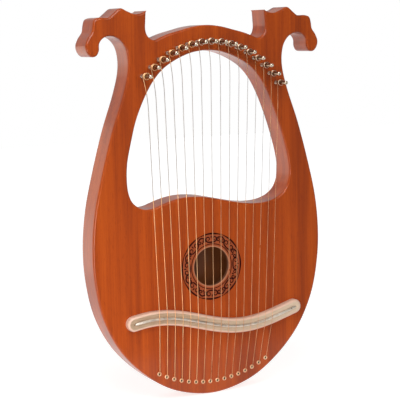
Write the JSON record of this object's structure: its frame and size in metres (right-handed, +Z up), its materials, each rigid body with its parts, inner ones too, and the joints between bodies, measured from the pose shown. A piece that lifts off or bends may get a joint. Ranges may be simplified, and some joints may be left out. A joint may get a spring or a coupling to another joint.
{
  "type": "lyre harp",
  "caption": "Upright lyre harp: flat mahogany body with a window, scroll horns and sound hole, steel strings from brass eyelets over a wavy bridge to turning pins.",
  "frame": {"origin": "on the flat back, behind the sound chamber, on the middle line, 118 mm above the lowest point", "axes": "+Z up along the middle line from the tail to the horns, -Y out of the strung front, +Y out of the flat back, +X to the right of someone who faces the strings"},
  "size_m": [0.2742, 0.051, 0.4113],
  "materials": {
    "mahogany": "satin varnish",
    "spruce": "raw planed",
    "maple": "satin",
    "nickel_silver": "polished",
    "nickel_plated_steel": "nickel plated",
    "string_steel": "drawn wire",
    "brass": "polished"
  },
  "bodies": {
    "harp": {"body_frame": "mahogany", "soundboard": "mahogany", "back_board": "mahogany", "bridge": "maple", "saddle_rod": "nickel_silver", "upper_brace": "spruce", "lower_brace": "spruce", "string_01": "string_steel", "string_02": "string_steel", "string_03": "string_steel", "string_04": "string_steel", "string_05": "string_steel", "string_06": "string_steel", "string_07": "string_steel", "string_08": "string_steel", "string_09": "string_steel", "string_10": "string_steel", "string_11": "string_steel", "string_12": "string_steel", "string_13": "string_steel", "string_14": "string_steel", "string_15": "string_steel", "string_16": "string_steel", "eyelet_01": "brass", "eyelet_02": "brass", "eyelet_03": "brass", "eyelet_04": "brass", "eyelet_05": "brass", "eyelet_06": "brass", "eyelet_07": "brass", "eyelet_08": "brass", "eyelet_09": "brass", "eyelet_10": "brass", "eyelet_11": "brass", "eyelet_12": "brass", "eyelet_13": "brass", "eyelet_14": "brass", "eyelet_15": "brass", "eyelet_16": "brass"},
    "pin_01": {"tuning_pin_01": "nickel_plated_steel"},
    "pin_02": {"tuning_pin_02": "nickel_plated_steel"},
    "pin_03": {"tuning_pin_03": "nickel_plated_steel"},
    "pin_04": {"tuning_pin_04": "nickel_plated_steel"},
    "pin_05": {"tuning_pin_05": "nickel_plated_steel"},
    "pin_06": {"tuning_pin_06": "nickel_plated_steel"},
    "pin_07": {"tuning_pin_07": "nickel_plated_steel"},
    "pin_08": {"tuning_pin_08": "nickel_plated_steel"},
    "pin_09": {"tuning_pin_09": "nickel_plated_steel"},
    "pin_10": {"tuning_pin_10": "nickel_plated_steel"},
    "pin_11": {"tuning_pin_11": "nickel_plated_steel"},
    "pin_12": {"tuning_pin_12": "nickel_plated_steel"},
    "pin_13": {"tuning_pin_13": "nickel_plated_steel"},
    "pin_14": {"tuning_pin_14": "nickel_plated_steel"},
    "pin_15": {"tuning_pin_15": "nickel_plated_steel"},
    "pin_16": {"tuning_pin_16": "nickel_plated_steel"}
  },
  "joints": [
    {"name": "pin_01_turn", "type": "hinge", "parent": "harp", "child": "pin_01", "pos_m": [-0.07642, -0.029, 0.22468], "axis": [0, 1, 0], "continuous": true},
    {"name": "pin_02_turn", "type": "hinge", "parent": "harp", "child": "pin_02", "pos_m": [-0.06714, -0.029, 0.23349], "axis": [0, 1, 0], "continuous": true},
    {"name": "pin_03_turn", "type": "hinge", "parent": "harp", "child": "pin_03", "pos_m": [-0.05717, -0.029, 0.2411], "axis": [0, 1, 0], "continuous": true},
    {"name": "pin_04_turn", "type": "hinge", "parent": "harp", "child": "pin_04", "pos_m": [-0.04661, -0.029, 0.24741], "axis": [0, 1, 0], "continuous": true},
    {"name": "pin_05_turn", "type": "hinge", "parent": "harp", "child": "pin_05", "pos_m": [-0.03557, -0.029, 0.25236], "axis": [0, 1, 0], "continuous": true},
    {"name": "pin_06_turn", "type": "hinge", "parent": "harp", "child": "pin_06", "pos_m": [-0.02418, -0.029, 0.25589], "axis": [0, 1, 0], "continuous": true},
    {"name": "pin_07_turn", "type": "hinge", "parent": "harp", "child": "pin_07", "pos_m": [-0.01255, -0.029, 0.25798], "axis": [0, 1, 0], "continuous": true},
    {"name": "pin_08_turn", "type": "hinge", "parent": "harp", "child": "pin_08", "pos_m": [-0.0008, -0.029, 0.2586], "axis": [0, 1, 0], "continuous": true},
    {"name": "pin_09_turn", "type": "hinge", "parent": "harp", "child": "pin_09", "pos_m": [0.01093, -0.029, 0.25773], "axis": [0, 1, 0], "continuous": true},
    {"name": "pin_10_turn", "type": "hinge", "parent": "harp", "child": "pin_10", "pos_m": [0.02253, -0.029, 0.2554], "axis": [0, 1, 0], "continuous": true},
    {"name": "pin_11_turn", "type": "hinge", "parent": "harp", "child": "pin_11", "pos_m": [0.03387, -0.029, 0.25162], "axis": [0, 1, 0], "continuous": true},
    {"name": "pin_12_turn", "type": "hinge", "parent": "harp", "child": "pin_12", "pos_m": [0.04483, -0.029, 0.24643], "axis": [0, 1, 0], "continuous": true},
    {"name": "pin_13_turn", "type": "hinge", "parent": "harp", "child": "pin_13", "pos_m": [0.0553, -0.029, 0.2399], "axis": [0, 1, 0], "continuous": true},
    {"name": "pin_14_turn", "type": "hinge", "parent": "harp", "child": "pin_14", "pos_m": [0.06516, -0.029, 0.23208], "axis": [0, 1, 0], "continuous": true},
    {"name": "pin_15_turn", "type": "hinge", "parent": "harp", "child": "pin_15", "pos_m": [0.07432, -0.029, 0.22307], "axis": [0, 1, 0], "continuous": true},
    {"name": "pin_16_turn", "type": "hinge", "parent": "harp", "child": "pin_16", "pos_m": [0.08267, -0.029, 0.21295], "axis": [0, 1, 0], "continuous": true}
  ]
}
